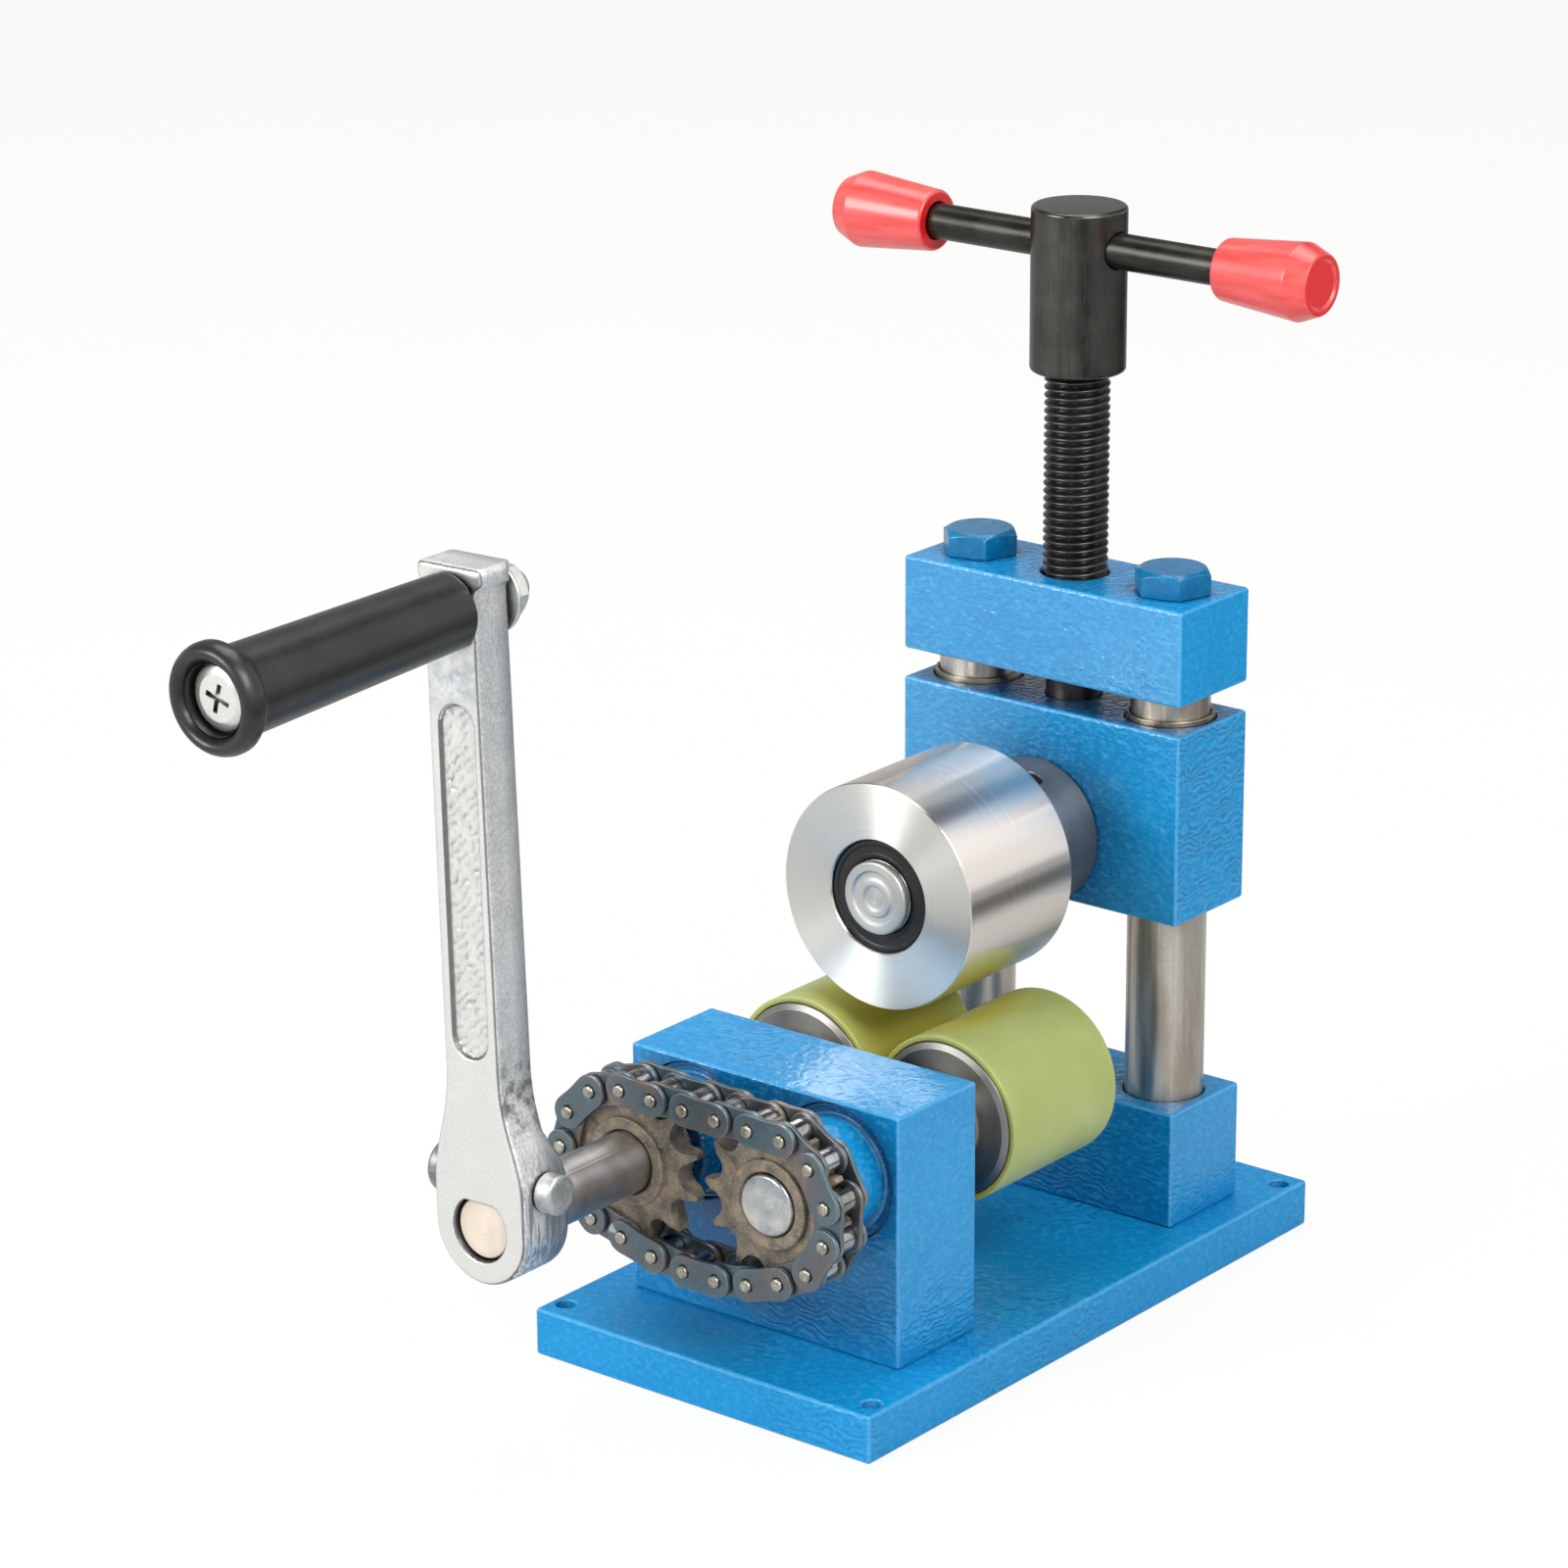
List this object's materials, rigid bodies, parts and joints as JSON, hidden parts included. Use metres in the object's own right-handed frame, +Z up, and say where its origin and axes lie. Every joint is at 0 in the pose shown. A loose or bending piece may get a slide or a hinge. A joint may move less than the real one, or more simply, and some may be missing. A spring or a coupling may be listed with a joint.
{
  "type": "jewellers rolling mill",
  "caption": "Bench mill with a crank, chain and coated rollers below, and a steel pressure roller fed down two columns by a T-handle screw to bend rings and strip.",
  "frame": {"origin": "centre of the base plate's underside", "axes": "+Z up, +X to the right and -Y towards the crank, as the worker at the crank sees it"},
  "size_m": [0.139, 0.3084, 0.2613],
  "materials": {
    "blue_paint": "gloss",
    "ground_steel": "satin",
    "bright_steel": "polished",
    "grey_steel": "satin",
    "browned_steel": "matte",
    "chain_steel": "satin",
    "black_steel": "satin",
    "seal_rubber": "matte",
    "black_plastic": "satin",
    "red_plastic": "gloss",
    "polyurethane": "gloss",
    "bright_zinc": "gloss",
    "bronze": "satin"
  },
  "bodies": {
    "frame": {"base_plate": "blue_paint", "front_block": "blue_paint", "foot_block": "blue_paint", "crosshead": "blue_paint", "column_left": "ground_steel", "column_right": "ground_steel", "crosshead_bolt_left": "blue_paint", "crosshead_bolt_right": "blue_paint", "front_block_screw_left": "black_steel", "front_block_screw_right": "black_steel", "column_screw_left": "black_steel", "column_screw_right": "black_steel", "bearing_cover_left": "blue_paint", "bearing_cover_right": "blue_paint", "front_outer_ring_left": "ground_steel", "back_outer_ring_left": "ground_steel", "front_outer_ring_right": "ground_steel", "back_outer_ring_right": "ground_steel", "drive_chain": "chain_steel"},
    "drive": {"drive_shaft": "grey_steel", "drive_sprocket": "browned_steel", "front_inner_ring_left": "bright_steel", "back_inner_ring_left": "bright_steel", "roller_core_left": "ground_steel", "roller_tyre_left": "polyurethane", "end_washer_left": "bright_zinc", "end_bolt_left": "bright_zinc", "crank_arm": "bright_zinc", "cotter_pin": "bright_zinc", "cotter_nut": "bright_zinc", "handle_bolt": "bright_zinc", "handle_nut": "bright_zinc"},
    "driven": {"driven_shaft": "ground_steel", "driven_sprocket": "browned_steel", "front_inner_ring_right": "bright_steel", "back_inner_ring_right": "bright_steel", "roller_core_right": "ground_steel", "roller_tyre_right": "polyurethane", "end_washer_right": "bright_zinc", "end_bolt_right": "bright_zinc"},
    "grip": {"grip": "black_plastic"},
    "slide": {"slide_block": "blue_paint", "slide_bush_left": "bronze", "slide_bush_right": "bronze", "retaining_pin": "ground_steel", "roller_axle": "ground_steel", "axle_collar": "grey_steel", "collar_grub_screw": "black_steel", "pressure_inner_ring_front": "ground_steel", "pressure_inner_ring_back": "ground_steel", "bearing_spacer": "ground_steel"},
    "roller": {"pressure_roller": "bright_steel", "pressure_outer_ring_front": "seal_rubber", "pressure_outer_ring_back": "seal_rubber"},
    "screw": {"feed_screw": "black_steel", "handle_hub": "black_steel", "t_bar": "black_steel", "knob_left": "red_plastic", "knob_right": "red_plastic"}
  },
  "joints": [
    {"name": "crank_turn", "type": "hinge", "parent": "frame", "child": "drive", "pos_m": [-0.0212, 0, 0.057], "axis": [0, 1, 0], "continuous": true, "deforming": ["drive_chain"]},
    {"name": "driven_turn", "type": "hinge", "parent": "frame", "child": "driven", "pos_m": [0.0212, 0, 0.057], "axis": [0, 1, 0], "continuous": true},
    {"name": "grip_spin", "type": "hinge", "parent": "drive", "child": "grip", "pos_m": [-0.02502, -0.1356, 0.20295], "axis": [-0.0007, 0.9996, 0.0279], "continuous": true},
    {"name": "slide_travel", "type": "slide", "parent": "frame", "child": "slide", "axis": [0, 0, 1], "range_m": [-0.0065, 0.0051]},
    {"name": "screw_turn", "type": "hinge", "parent": "slide", "child": "screw", "pos_m": [0, 0.0571, 0.13], "axis": [0, 0, 1], "range_deg": [-1172, 920]},
    {"name": "pressure_spin", "type": "hinge", "parent": "slide", "child": "roller", "pos_m": [0, 0, 0.10786], "axis": [0, 1, 0], "continuous": true}
  ],
  "couplings": [
    {"joint": "driven_turn", "follows": "crank_turn", "ratio": 1},
    {"joint": "screw_turn", "follows": "slide_travel", "rad_per_m": 3141.6}
  ]
}
